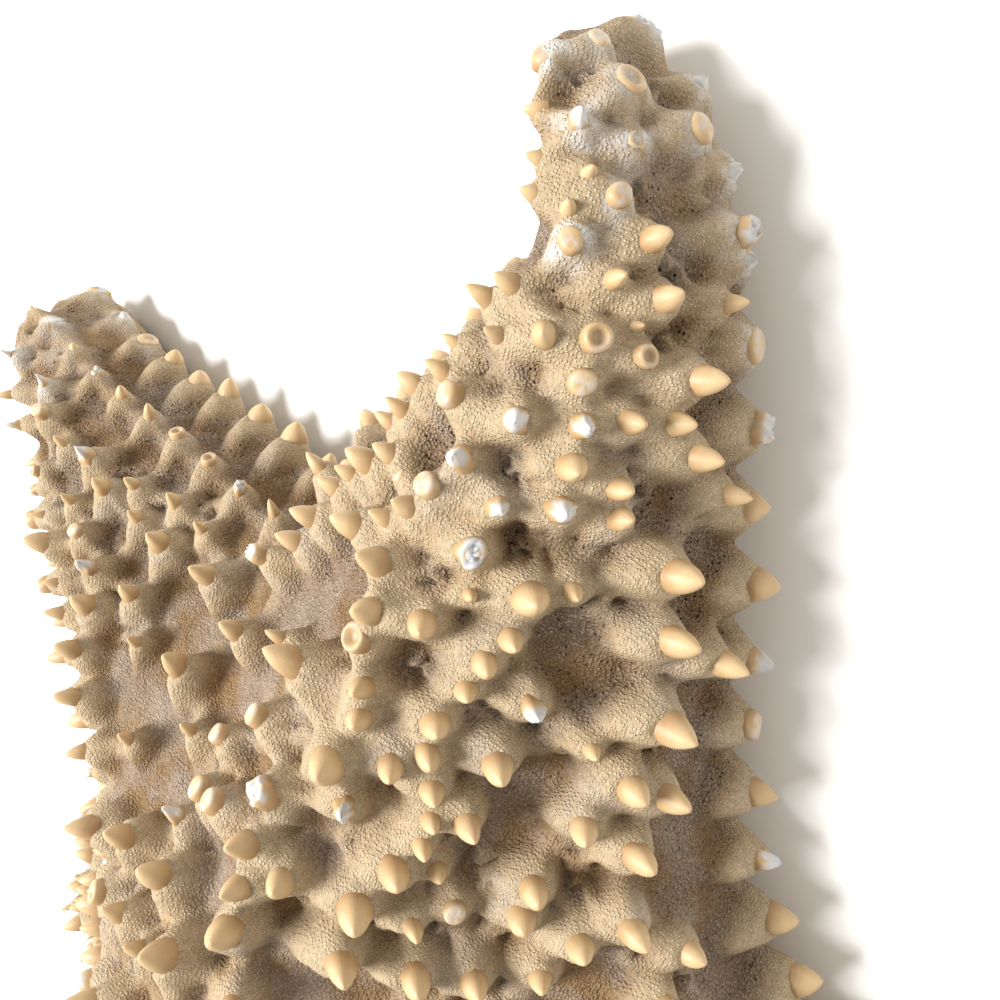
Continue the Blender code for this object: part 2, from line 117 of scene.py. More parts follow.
# Knobs seen on the arm along +Y: across the arm, out along it, size, and how each has worn:
# w whole, c chipped white at the point, f rubbed flat, r rubbed to a ring, b broken off white.
seenKnobs = [
    (-8.8, 115.6, 1.2, "f"), (-11, 112.5, 1.1, "f"), (-4.3, 113, 1.3, "r"), (2.3, 112.3, 1.4, "f"),
    (-5, 108.3, 1.1, "c"), (-1, 108.8, 0.8, "r"), (-2.2, 104.8, 0.8, "w"), (0.2, 103.8, 1.2, "f"),
    (-1.8, 101.9, 0.8, "w"), (3.8, 101.6, 1.1, "w"), (-0.4, 99.5, 1.0, "f"), (3.3, 97.6, 0.9, "w"),
    (9.7, 105.7, 1.6, "b"), (11.4, 99.1, 1.0, "w"), (-4.4, 102.6, 0.8, "w"), (-5.6, 105.5, 0.8, "w"),
    (-8.3, 109.4, 0.8, "w"),
    (7, 97.2, 1.1, "w"), (6.4, 94.7, 0.6, "w"), (7.8, 92.4, 1.0, "r"), (4.3, 92.6, 1.2, "r"),
    (1.4, 91.8, 1.1, "w"), (-2.2, 94.3, 0.9, "w"), (-4, 92.1, 1.0, "w"), (11.8, 91.7, 1.3, "w"),
    (-1.4, 90, 0.8, "w"), (5.3, 89.2, 1.0, "f"), (12.2, 87.5, 1.1, "w"), (9.4, 86.8, 1.0, "w"),
    (6.7, 85.8, 1.1, "c"), (15, 85.2, 1.2, "w"), (2.4, 84, 1.2, "c"), (-2.4, 82.9, 1.1, "f"),
    (7.5, 82, 1.2, "w"), (11.3, 80.8, 1.0, "w"), (0.2, 78.2, 1.2, "c"), (12.7, 78.2, 1.0, "w"),
    (8.4, 77.8, 1.3, "c"), (3.9, 76, 1.1, "c"), (-0.7, 74.4, 1.1, "f"), (18.4, 74.2, 1.3, "w"),
    (-7.5, 73.5, 1.0, "w"), (-5.3, 72.6, 0.7, "f"), (-1.9, 71.4, 1.0, "w"), (3.8, 71.2, 1.2, "b"),
    (12.8, 70.8, 0.9, "w"), (-10.8, 70.2, 1.1, "w"), (-4.2, 68.6, 0.8, "w"), (9.6, 68.7, 1.3, "w"),
    (21.2, 68.1, 1.3, "w"), (-6.9, 65.4, 1.2, "w"), (-1.9, 65.1, 1.2, "w"), (9.8, 64.4, 1.0, "w"),
    (-15.5, 64, 1.0, "w"), (3, 62.8, 1.3, "w"), (9, 61.3, 1.1, "w"), (-0.2, 61.3, 1.4, "w"),
    (24.4, 60.2, 1.5, "w"), (-17, 59.2, 1.1, "w"), (14.4, 58.4, 1.1, "c"), (-0.4, 57.7, 1.2, "r"),
    (8.8, 57.9, 1.0, "w"), (21.3, 56, 0.7, "w"), (-19, 54.5, 1.0, "w"), (1.2, 53.7, 1.4, "w"),
    (7.8, 53.6, 1.3, "w"), (25.3, 53.5, 1.2, "w"), (28.5, 52.6, 1.3, "w"), (14.1, 51.7, 1.2, "w"),
    (2, 50.7, 1.2, "w"), (8.5, 49.9, 1.1, "w"), (-5.1, 49.4, 1.4, "w"), (24.5, 48.4, 1.1, "w"),
    (6.2, 48, 1.3, "w"), (10.1, 46.8, 1.2, "w"), (29.3, 46.7, 1.2, "w"), (1.6, 45.2, 1.5, "w"),
    (14.1, 44.2, 1.4, "w"), (11.4, 43.2, 1.1, "w"), (4.4, 41.1, 1.1, "c"), (11.8, 40.4, 1.2, "w"),
    (-7.8, 40, 1.0, "f"), (32.7, 39.4, 1.2, "w"), (23.4, 39.2, 1.2, "w"), (-1.4, 37.6, 1.2, "b"),
    (14.4, 37.4, 0.9, "w"), (10.9, 36.4, 1.4, "w"), (23.9, 35.7, 1.1, "w"), (30, 35.7, 1.2, "w"),
    (18, 33.4, 0.9, "f"), (-0.6, 31.8, 1.4, "w"), (9.4, 31.8, 1.5, "w"), (15, 30.9, 1.0, "w"),
    (-13.8, 31, 1.0, "f"), (3, 30.7, 1.2, "w"), (28.6, 30.4, 1.0, "w"), (-7.3, 28.7, 1.2, "f"),
    (0.6, 28.1, 1.5, "w"), (22.9, 27, 1.2, "w"), (-11.5, 26.1, 1.1, "f"), (17.8, 25.8, 1.3, "w"),
    (10.7, 25.2, 1.5, "w"), (1.3, 22.8, 1.5, "w"), (-13, 21.2, 1.0, "c"), (-9.2, 17.5, 1.3, "w"),
    (-2.3, 15.1, 1.5, "w"),
    (-6.3, 86.6, 0.7, "w"), (-5.8, 83.7, 0.9, "w"), (-8.6, 80.3, 1.0, "w"), (-9.5, 77.1, 1.0, "w"),
    (-10.9, 75, 0.9, "w"), (-13.5, 67.2, 0.9, "w"), (-22.7, 60.7, 1.0, "w"), (19.7, 82.4, 1.0, "w"),
    (26.5, 66.5, 1.2, "w"), (5.5, 66.8, 0.7, "w"),
]


def armAxes(i):
    turn = math.radians(bodyForm["armAngle"][i])
    return np.array([math.cos(turn), math.sin(turn)]), np.array([-math.sin(turn), math.cos(turn)])


def towards(angle, distance):
    turn = math.radians(angle)
    return distance * np.array([-math.sin(turn), math.cos(turn)])


def sideways(i, s):
    reach, leanStarts, hookStarts = bodyForm["armReach"][i], bodyForm["leanStarts"], bodyForm["hookStarts"]
    lean = np.clip((s - leanStarts) / (reach - leanStarts), 0, None) ** 2
    hook = np.clip((s - hookStarts) / (reach - hookStarts), 0, None) ** 2
    return bodyForm["tipLean"][i] * lean + bodyForm["tipHook"][i] * hook


def outlineMarks():
    marks = []
    for i in range(5):
        across, along = armAxes(i)
        reach = bodyForm["armReach"][i]
        back, half = bodyForm["tipBack"], bodyForm["tipHalf"]
        side = [(s * reach / bodyForm["commonReach"], w * bodyForm["armGirth"][i])
                for s, w in bodyForm["armWidth"]]
        tip = [(reach - back, half), (reach, 0), (reach - back, -half)]
        slim = bodyForm["slimLeft"][i]
        slimFrom, slimTo = bodyForm["slimSpan"]
        left = [(s, slim * (slimFrom < s < slimTo) - w) for s, w in reversed(side)]
        for s, w in side + tip + left:
            marks.append(across * (w + sideways(i, s)) + along * s)
        marks += [towards(angle, distance) for distance, angle in bodyForm["hollows"][i]]
    return marks


def smoothLoop(marks, cuts):
    points = []
    count = len(marks)
    for i in range(count):
        a, b, c, d = marks[i - 1], marks[i], marks[(i + 1) % count], marks[(i + 2) % count]
        for k in range(cuts):
            t = k / cuts
            cubic = (3 * b - 3 * c + d - a) * t ** 3
            square = (2 * a - 5 * b + 4 * c - d) * t * t
            points.append(0.5 * (2 * b + (c - a) * t + square + cubic))
    return np.array(points)


outline = smoothLoop(outlineMarks(), 8)
roughOutline = outline[::5]      # quicker to search, for a first look


def edgePlace(points, loop=outline, batch=3000):      # nearest place on the outline, distance and way in
    step = np.roll(loop, -1, 0) - loop
    length = (step ** 2).sum(1)
    out = []
    for first in range(0, len(points), batch):
        some = points[first:first + batch]
        t = np.clip(((some[:, None, :] - loop) * step).sum(2) / length, 0, 1)
        near = loop + t[..., None] * step
        far = ((some[:, None, :] - near) ** 2).sum(2)
        pick = far.argmin(1)
        row = np.arange(len(some))
        near = near[row, pick]
        inward = np.c_[-step[pick, 1], step[pick, 0]] / np.sqrt(length[pick])[:, None]
        offset = some - near
        side = np.where((offset * inward).sum(1) < 0, -1.0, 1.0)
        distance = np.sqrt(far[row, pick])
        clear = distance > 1e-4
        inward[clear] = offset[clear] / distance[clear, None] * side[clear, None]
        out.append((near, distance * side, inward))
    return [np.concatenate(part) for part in zip(*out)]


def crest(points):
    heights = []
    for i in range(5):
        across, along = armAxes(i)
        s = points @ along
        w = points @ across - sideways(i, s)
        u = np.clip(s / bodyForm["armReach"][i], 0, 1)
        peak = np.interp(u, *zip(*bodyForm["crestHeight"]))
        spread = np.interp(u, *zip(*bodyForm["crestSpread"]))
        w = np.hypot(w, np.minimum(s, 0))
        heights.append(peak * np.exp(-bodyForm["crestFall"] * (w / spread) ** bodyForm["crestPower"]))
    heights = np.array(heights)
    top = heights.max(0)
    blend = bodyForm["crestBlend"]
    return top + blend * np.log(np.exp((heights - top) / blend).sum(0))


def upperSkin(points):
    near, distance, inward = edgePlace(points)
    rim = bodyForm["rimTurn"]
    turn = np.clip((rim - distance) / rim, 0, bodyForm["rollEnd"])
    inside = np.where(distance < rim, rim * (1 - np.sin(turn)), distance)
    plan = near + inward * inside[:, None]
    rise = np.where(turn < quarterTurn, bodyForm["shoulder"] + crest(plan), bodyForm["underTurn"])
    return np.c_[plan, bodyForm["rimHeight"] + rise * np.cos(turn)]


def skinNormal(points, step=0.4):
    x = upperSkin(points + [step, 0]) - upperSkin(points - [step, 0])
    y = upperSkin(points + [0, step]) - upperSkin(points - [0, step])
    n = np.cross(x, y)
    return n / np.linalg.norm(n, axis=1)[:, None]


def edgeRow(step, inwards, start, glance=0.5):      # even steps along the outline, moved inwards from it
    loop = np.vstack([outline, outline[:1]])
    run = np.r_[0, np.cumsum(np.hypot(*np.diff(loop, axis=0).T))]
    count = int(run[-1] / step)
    at = (np.arange(count) + start) * run[-1] / count
    on = np.c_[np.interp(at, run, loop[:, 0]), np.interp(at, run, loop[:, 1])]
    ahead = np.c_[np.interp(at + glance, run, loop[:, 0]), np.interp(at + glance, run, loop[:, 1])] - on
    ahead = ahead / np.maximum(np.hypot(*ahead.T), tiny)[:, None]
    return on + np.c_[-ahead[:, 1], ahead[:, 0]] * inwards


def knobAxis(points):      # knobs lean a little further out than the skin does
    axis = skinNormal(points)
    axis[:, :2] *= 1 + knobPlan["lean"]
    return axis / np.linalg.norm(axis, axis=1)[:, None]


def knobList():      # x, y, size, full height and wear of every knob, by the same draws as the solid
    plan = knobPlan
    chance = random.Random(plan["seed"])
    wearChance = random.Random(plan["seed"] + 1)
    knobs = []
    tries = []
    for x, y in edgeRow(plan["edgeStep"], plan["edgeRowIn"], 0.5):
        far = math.hypot(x, y)
        size = chance.uniform(*plan["edgeSize"]) * np.interp(far, *zip(*plan["edgeWear"]))
        wear = wearChance.choice(plan["commonWear"] if far < plan["wornFrom"] else plan["tipEndWear"])
        knobs.append((x, y, plan["edgeFoot"], plan["edgeHeight"] * size, wear))
    seenAcross, seenAlong = armAxes(0)
    for w, s, size, wear in seenKnobs:
        x, y = seenAcross * w + seenAlong * s
        worn = np.interp(s, *zip(*plan["tipWear"]))
        tries.append((x, y, size, plan["height"] * size * worn, plan["seenRoom"], wear))
    for x, y in edgeRow(plan["edgeStep"], plan["secondRowIn"], 0.0):
        wear = wearChance.choice(plan["commonWear"])
        size = chance.uniform(*plan["secondRowSize"])
        worn = plan["secondRowHeight"] * np.interp(math.hypot(x, y), *zip(*plan["edgeWear"]))
        tries.append((x, y, size, plan["height"] * worn, plan["secondRowRoom"], wear))
    for row in sorted(range(-plan["rowsEachSide"], plan["rowsEachSide"] + 1), key=abs):
        for i in range(5):
            across, along = armAxes(i)
            for k in range(plan["rowStations"]):
                stray = plan["stray"]
                s = (k * plan["stationStep"] + (row % 2) / 2) * plan["gap"] + chance.uniform(-stray, stray)
                w = row * plan["gap"] * plan["rowStep"] + sideways(i, s) + chance.uniform(-stray, stray)
                x, y = across * w + along * s
                size = chance.choice(plan["sizes"]) * np.interp(s, *zip(*plan["tipWear"]))
                wear = wearChance.choice(plan["commonWear"] if s < plan["wornFrom"] else plan["tipEndWear"])
                tries.append((x, y, size, plan["height"] * size, plan["rowRoom"], wear))
    for k in range(plan["spareTries"]):
        angle = chance.uniform(0, 360)
        x, y = towards(angle, chance.uniform(0, 1) ** plan["spareInward"] * bodyForm["commonReach"])
        size = chance.choice(plan["spareSizes"])
        tries.append((x, y, size, plan["height"] * size, plan["spareRoom"], "w"))
    distance = edgePlace(np.array([t[:2] for t in tries]))[1]
    for (x, y, size, height, room, wear), inside in zip(tries, distance):
        seen = room == plan["seenRoom"]
        if inside < (plan["seenInside"] if seen else plan["leastInside"]):
            continue
        onSeenArm = y > plan["seenFrom"] and abs(x) < plan["seenHalf"]
        if onSeenArm and not seen:
            room = plan["seenArmRoom"]
        gap = min(math.hypot(x - k[0], y - k[1]) for k in knobs)
        if gap > plan["gap"] * room:
            knobs.append((x, y, plan["foot"] * size, height, wear))
    return knobs


def trimFeet(knobs):      # x, y, foot, height as it would be unworn, wear, full foot and gap to the nearest
    places = np.array([k[:2] for k in knobs])
    rimRoom = edgePlace(places)[1] + bodyForm["rimTurn"] * (bodyForm["rollEnd"] - 1) - knobPlan["rimMargin"]
    least = knobPlan["leastHeight"]
    out = []
    for i, (x, y, foot, height, wear) in enumerate(knobs):
        gaps = np.hypot(*(places - places[i]).T)
        gaps[i] = 2 * bodyForm["commonReach"]
        footNow = min(foot, gaps.min() * knobPlan["footShare"], rimRoom[i])
        slim = least + (1 - least) * footNow / foot
        out.append((x, y, footNow, height * slim, wear, foot, gaps.min()))
    return out


print("laying out the knobs")
knobs = trimFeet(knobList())
knobPlaces = np.array([k[:2] for k in knobs])
knobHeights = np.array([k[3] for k in knobs])
knobWorn = np.array([knobPlan["wearHeight"][k[4]] for k in knobs])
knobBases = upperSkin(knobPlaces)
knobAxes = knobAxis(knobPlaces)
knobTips = knobBases + knobAxes * (knobHeights * knobWorn)[:, None]
bodyMiddle = (knobTips[:, :2].max(0) + knobTips[:, :2].min(0)) / 2


def inFrame(points):      # from the body's millimetres to the frame's metres
    moved = np.array(points, float)
    moved[:, :2] -= bodyMiddle
    return moved * mm


def meshPiece(name, points, faces, marks, material):
    mesh = bpy.data.meshes.new(name)
    mesh.vertices.add(len(points))
    mesh.vertices.foreach_set("co", np.asarray(points, np.float32).ravel())
    mesh.loops.add(len(faces) * 3)
    mesh.loops.foreach_set("vertex_index", np.asarray(faces, np.int32).ravel())
    mesh.polygons.add(len(faces))
    mesh.polygons.foreach_set("loop_start", np.arange(len(faces), dtype=np.int32) * 3)
    mesh.update(calc_edges=True)
    mesh.validate()
    mesh.shade_smooth()
    for mark, values in marks.items():
        layer = mesh.attributes.new(mark, "FLOAT", "POINT")
        layer.data.foreach_set("value", np.asarray(values, np.float32))
    mesh.materials.append(material)
    piece = bpy.data.objects.new(name, mesh)
    bpy.context.collection.objects.link(piece)
    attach(piece, "root")
    return piece


roughSpare = 4          # how far the rough outline may be wrong
lastRowShare = 0.6      # a point this share of the spacing past the edge is still drawn back to it


def hexGrid(spacing, keepOut):      # points on a triangular grid inside the outline, and their triangles
    low = outline.min(0) - keepOut - spacing
    high = outline.max(0) + keepOut + spacing
    rowHeight = spacing * math.sqrt(3) / 2
    columns = int((high[0] - low[0]) / spacing)
    rows = int((high[1] - low[1]) / rowHeight)
    i, j = np.meshgrid(np.arange(columns), np.arange(rows))
    flat = np.c_[(low[0] + (i + (j % 2) / 2) * spacing).ravel(), (low[1] + j * rowHeight).ravel()]
    rough = edgePlace(flat, roughOutline, 8000)[1]
    close = np.flatnonzero(rough > -keepOut - roughSpare)
    near, distance, inward = edgePlace(flat[close])
    kept = distance > -keepOut - spacing * lastRowShare
    index = np.full(len(flat), -1)
    index[close[kept]] = np.arange(kept.sum())
    points = flat[close[kept]]
    over = np.minimum(distance[kept] + keepOut, 0)      # the last row is drawn back to the edge
    points = points - inward[kept] * over[:, None]
    index = index.reshape(rows, columns)
    a, b, c, d = index[:-1, :-1], index[:-1, 1:], index[1:, :-1], index[1:, 1:]
    even = (j[:-1, :-1] % 2 == 0)
    faces = np.concatenate([
        np.stack([a, b, c], 2)[even], np.stack([b, d, c], 2)[even],
        np.stack([a, b, d], 2)[~even], np.stack([a, d, c], 2)[~even]])
    return points, faces[(faces >= 0).all(1)]


def meshNormals(points, faces):
    cross = np.cross(points[faces[:, 1]] - points[faces[:, 0]], points[faces[:, 2]] - points[faces[:, 0]])
    normals = np.zeros_like(points)
    for k in range(3):
        np.add.at(normals, faces[:, k], cross)
    return normals / np.maximum(np.linalg.norm(normals, axis=1), 1e-9)[:, None]


def nearestKnobs(points, count, batch=5000):      # straight distances, so cones stay round on the flanks
    dist, pick = [], []
    for first in range(0, len(points), batch):
        some = points[first:first + batch]
        gap = np.sqrt(((some[:, None, :] - knobBases) ** 2).sum(2))
        order = np.argpartition(gap, count, axis=1)[:, :count]
        value = np.take_along_axis(gap, order, 1)
        rank = value.argsort(1)
        pick.append(np.take_along_axis(order, rank, 1))
        dist.append(np.take_along_axis(value, rank, 1))
    return np.concatenate(dist), np.concatenate(pick)


def ripple(points, size, seed):      # smooth lumpy noise from -1 to 1 with lumps of a given size
    offset = Vector((seed * 7.3, seed * 3.1, seed * 5.7))      # each seed reads another part of the noise
    return np.array([noise.noise(Vector(p) / size + offset) for p in points])


def smoothStep(t):
    t = np.clip(t, 0, 1)
    return t * t * (3 - 2 * t)


def tone(code):      # sRGB hex, as the eye sees it, to linear
    parts = [int(code[k:k + 2], 16) / 255 for k in (1, 3, 5)]
    return (*[p / 12.92 if p <= 0.04045 else ((p + 0.055) / 1.055) ** 2.4 for p in parts], 1)


def addNode(tree, kind, sockets=None, **settings):
    node = tree.nodes.new("ShaderNode" + kind)
    for name, value in settings.items():
        setattr(node, name, value)
    for name, value in (sockets or {}).items():
        if isinstance(value, bpy.types.NodeSocket):
            tree.links.new(value, node.inputs[name])
        else:
            node.inputs[name].default_value = value
    return node


def newMaterial(name):
    material = bpy.data.materials.new(name)
    material.use_nodes = True
    return material, material.node_tree, material.node_tree.nodes["Principled BSDF"]


# Air-dried skin over limy plates: dry, matt and dusty. A close pavement of granules with brown joints
# gives it a sandy grain, the creases are darkened with a brown that is part dirt and part painted shade, and dark
# pores dot the sunken patches.
# Sizes are in millimetres. Granules come to 0.4 to 0.5 across in the photograph, and these cells, which
# vary in size, are drawn at 0.36. The finest grain, 0.3, is about as coarse as it needs to be to show.
skinFinish = {
    "granuleSize": 0.36,
    "granuleRandomness": 0.55,
    "gritSize": 0.36,
    "poreSize": 0.52,
    "patchSize": 7.0,
    "patchDetail": 4.0,
    "stainSize": 16.0,
    "stainDetail": 3.0,
    "fineSize": 0.3,
    "fineDetail": 2.0,
    "ridge": "#c3b294",
    "plain": "#b29e7e",
    "stain": "#a8875e",
    # the brown of the hollows, part dirt and part painted shade
    "dirtAndShade": "#8f7351",
    "lilac": "#a3968a",
    "gap": "#4a3523",
    "dust": "#b9b0a5",
    "joint": "#6f573d",
    "pore": "#33241a",
    "chalk": "#cdd0d2",
    "stained": {"From Min": 0.45, "From Max": 0.7},
    "greyed": {"From Min": 0.42, "From Max": 0.58},
    "dusted": {"From Min": 0.52, "From Max": 0.66, "To Max": 0.6},
    # how far the hollows take that brown of dirt and painted shade
    "dirtAndShadeShare": 0.9,
    "gapSides": {"From Min": 0.34, "From Max": 0.62, "To Max": 0.8},
    "middleGaps": 0.5,          # how open the grit is over the middle of the body, against the arms
    "granuleShades": {"To Min": 0.9, "To Max": 1.22},
    "bead": {"From Min": 0.52, "From Max": 0.14},
    "ground": {"To Min": 0.5, "To Max": 0.0},
    "poreChosen": {"From Min": 0.6, "From Max": 0.65},
    "poreInside": {"From Min": 0.36, "From Max": 0.22},
    "poreDepth": {"From Min": 0.3, "From Max": 0.6},
    "granuleHeight": 0.15,
    "gapRelief": 1.5,
    "fineRelief": 0.3,
    "roughness": 0.85,
    "ior": 1.5,
    "specular": 0.2,
}


def makeSkin():
    f = skinFinish
    material, tree, shader = newMaterial("air dried starfish skin")
    place = addNode(tree, "TexCoord").outputs["Object"]
    hollow, collar, chalk, outer = [addNode(tree, "Attribute", attribute_name=mark).outputs["Fac"]
                                    for mark in ("hollow", "collar", "chalk", "outer")]
    granule = addNode(tree, "TexVoronoi", {"Vector": place, "Scale": 1 / (f["granuleSize"] * mm),
                                           "Randomness": f["granuleRandomness"]}).outputs
    grit = addNode(tree, "TexVoronoi", {"Vector": place, "Scale": 1 / (f["gritSize"] * mm)}).outputs
    pore = addNode(tree, "TexVoronoi", {"Vector": place, "Scale": 1 / (f["poreSize"] * mm)}).outputs
    patch, stain, fine = [
        addNode(tree, "TexNoise", {"Vector": place, "Scale": 1 / (f[name + "Size"] * mm),
                                   "Detail": f[name + "Detail"]}).outputs
        for name in ("patch", "stain", "fine")]

    # ridges and cones pale yellow, the rest tan with ochre stains
    stained = addNode(tree, "MapRange", {"Value": stain["Fac"], **f["stained"]}).outputs[0]
    tan = addNode(tree, "Mix", {0: stained, 6: tone(f["plain"]), 7: tone(f["stain"])},
                  data_type="RGBA").outputs[2]
    raised = addNode(tree, "Mix", {0: collar, 6: tan, 7: tone(f["ridge"])}, data_type="RGBA").outputs[2]

    # sunken patches: loose pale grit over dark brown, part dirt and part painted shade, browner here and greyer
    # there, with whitish dust
    greyed = addNode(tree, "MapRange", {"Value": patch["Fac"], **f["greyed"]}).outputs[0]
    valley = addNode(tree, "Mix", {0: greyed, 6: tone(f["dirtAndShade"]), 7: tone(f["lilac"])},
                     data_type="RGBA").outputs[2]
    # depth: how far each hollow takes the brown of dirt and painted shade
    depth = addNode(tree, "Math", {0: hollow, 1: f["dirtAndShadeShare"]}, operation="MULTIPLY").outputs[0]
    low = addNode(tree, "Mix", {0: depth, 6: raised, 7: valley}, data_type="RGBA").outputs[2]
    dustAmount = addNode(tree, "MapRange", {"Value": patch["Color"], **f["dusted"]}).outputs[0]
    dusted = addNode(tree, "Mix", {0: dustAmount, 6: low, 7: tone(f["dust"])}, data_type="RGBA").outputs[2]
    sides = addNode(tree, "MapRange", {"Value": grit["Distance"], **f["gapSides"]}).outputs[0]
    openness = addNode(tree, "Math", {0: outer, 1: 1 - f["middleGaps"], 2: f["middleGaps"]},
                       operation="MULTIPLY_ADD").outputs[0]
    loose = addNode(tree, "Math", {0: depth, 1: openness}, operation="MULTIPLY").outputs[0]
    gaps = addNode(tree, "Math", {0: sides, 1: loose}, operation="MULTIPLY").outputs[0]
    dusty = addNode(tree, "Mix", {0: gaps, 6: dusted, 7: tone(f["gap"])}, data_type="RGBA").outputs[2]

    # each granule a bead with a shade of its own, browner ground between them
    shade = addNode(tree, "SeparateColor", {"Color": granule["Color"]}).outputs[0]
    bright = addNode(tree, "MapRange", {"Value": shade, **f["granuleShades"]}).outputs[0]
    varied = addNode(tree, "VectorMath", {0: dusty, "Scale": bright}, operation="SCALE").outputs[0]
    bead = addNode(tree, "MapRange", {"Value": granule["Distance"], **f["bead"]},
                   interpolation_type="SMOOTHSTEP").outputs[0]
    ground = addNode(tree, "MapRange", {"Value": bead, **f["ground"]}).outputs[0]
    joints = addNode(tree, "Mix", {0: ground, 6: varied, 7: tone(f["joint"])}, data_type="RGBA").outputs[2]

    # pores, a few chosen at random in the hollows, and chalk dust by the broken knobs
    rare = addNode(tree, "SeparateColor", {"Color": pore["Color"]}).outputs[0]
    chosen = addNode(tree, "MapRange", {"Value": rare, **f["poreChosen"]}).outputs[0]
    inside = addNode(tree, "MapRange", {"Value": pore["Distance"], **f["poreInside"]}).outputs[0]
    deep = addNode(tree, "MapRange", {"Value": hollow, **f["poreDepth"]}).outputs[0]
    pores = addNode(tree, "Math", {0: chosen, 1: inside}, operation="MULTIPLY").outputs[0]
    lowPores = addNode(tree, "Math", {0: pores, 1: deep}, operation="MULTIPLY").outputs[0]
    poreAmount = addNode(tree, "Math", {0: lowPores, 1: outer}, operation="MULTIPLY").outputs[0]
    pored = addNode(tree, "Mix", {0: poreAmount, 6: joints, 7: tone(f["pore"])}, data_type="RGBA").outputs[2]
    worn = addNode(tree, "Mix", {0: chalk, 6: pored, 7: tone(f["chalk"])}, data_type="RGBA").outputs[2]
    tree.links.new(worn, shader.inputs["Base Color"])

    # relief of the grain: beads, loose grit in the hollows, pitted by the pores
    sunk = addNode(tree, "Math", {0: gaps, 1: f["gapRelief"], 2: poreAmount}, operation="MULTIPLY_ADD").outputs[0]
    pitted = addNode(tree, "Math", {0: bead, 1: sunk}, operation="SUBTRACT").outputs[0]
    rough = addNode(tree, "Math", {0: fine["Fac"], 1: f["fineRelief"], 2: pitted},
                    operation="MULTIPLY_ADD").outputs[0]
    bump = addNode(tree, "Bump", {"Height": rough, "Strength": 1.0,
                                  "Distance": f["granuleHeight"] * mm}).outputs[0]
    tree.links.new(bump, shader.inputs["Normal"])
    shader.inputs["Roughness"].default_value = f["roughness"]
    shader.inputs["IOR"].default_value = f["ior"]
    shader.inputs["Specular IOR Level"].default_value = f["specular"]
    return material


# Limy knob ends rubbed smooth by handling: satin and slightly waxy, cream higher up and ochre lower down,
# the ochre a painted shade, and chalk white where the point has broken. Sizes are in millimetres.
knobFinish = {
    # light and deep: cream higher up each end and ochre lower down, where the ochre is painted shade
    "litCream": "#bfa57e",
    "deep": "#98744c",
    "chalk": "#bdc5cd",
    "stainSize": 2.5,
    "stainDetail": 3.0,
    "stainShare": 0.7,
    "creamFrom": {"From Min": 0.3, "From Max": 1.0},
    "grainSize": 0.3,
    "grainDetail": 2.0,
    "grainHeight": 0.08,
    "grainStrength": 0.35,
    "roughness": 0.48,
    "ior": 1.52,
    "specular": 0.35,
    "waxy": 0.2,
    "waxyTint": (1.0, 0.55, 0.25),
    "waxyDepth": 1.2,
}


def makeKnobCoat():
    f = knobFinish
    material, tree, shader = newMaterial("rubbed limy knob")
    place = addNode(tree, "TexCoord").outputs["Object"]
    bare, lift = [addNode(tree, "Attribute", attribute_name=mark).outputs["Fac"] for mark in ("bare", "lift")]
    stain, grain = [
        addNode(tree, "TexNoise", {"Vector": place, "Scale": 1 / (f[name + "Size"] * mm),
                                   "Detail": f[name + "Detail"]}).outputs
        for name in ("stain", "grain")]
    # the stain noise varies the tone; lift, up each end, darkens it towards the foot as painted shade
    height = addNode(tree, "Math", {0: stain["Fac"], 1: f["stainShare"], 2: lift},
                     operation="MULTIPLY_ADD").outputs[0]
    shade = addNode(tree, "MapRange", {"Value": height, **f["creamFrom"]}).outputs[0]
    coat = addNode(tree, "Mix", {0: shade, 6: tone(f["deep"]), 7: tone(f["litCream"])}, data_type="RGBA").outputs[2]
    chalky = addNode(tree, "Mix", {0: bare, 6: coat, 7: tone(f["chalk"])}, data_type="RGBA").outputs[2]
    tree.links.new(chalky, shader.inputs["Base Color"])
    bump = addNode(tree, "Bump", {"Height": grain["Fac"], "Strength": f["grainStrength"],
                                  "Distance": f["grainHeight"] * mm}).outputs[0]
    tree.links.new(bump, shader.inputs["Normal"])
    shader.inputs["Roughness"].default_value = f["roughness"]
    shader.inputs["IOR"].default_value = f["ior"]
    shader.inputs["Specular IOR Level"].default_value = f["specular"]
    shader.inputs["Subsurface Weight"].default_value = f["waxy"]
    shader.inputs["Subsurface Radius"].default_value = f["waxyTint"]
    shader.inputs["Subsurface Scale"].default_value = f["waxyDepth"] * mm
    return material


skinMaterial = makeSkin()
knobMaterial = makeKnobCoat()

# How the smooth knob ends are sized against the knobs' feet.
capSize = {
    "seed": 5,
    "share": [(80, 0.39), (100, 0.34)],      # radius as a share of the foot, by the distance from the middle
    "edgeShare": 0.6,
    "chippedShare": 0.85,
    "ofGap": 0.44,
    "spread": (0.92, 1.08),
}

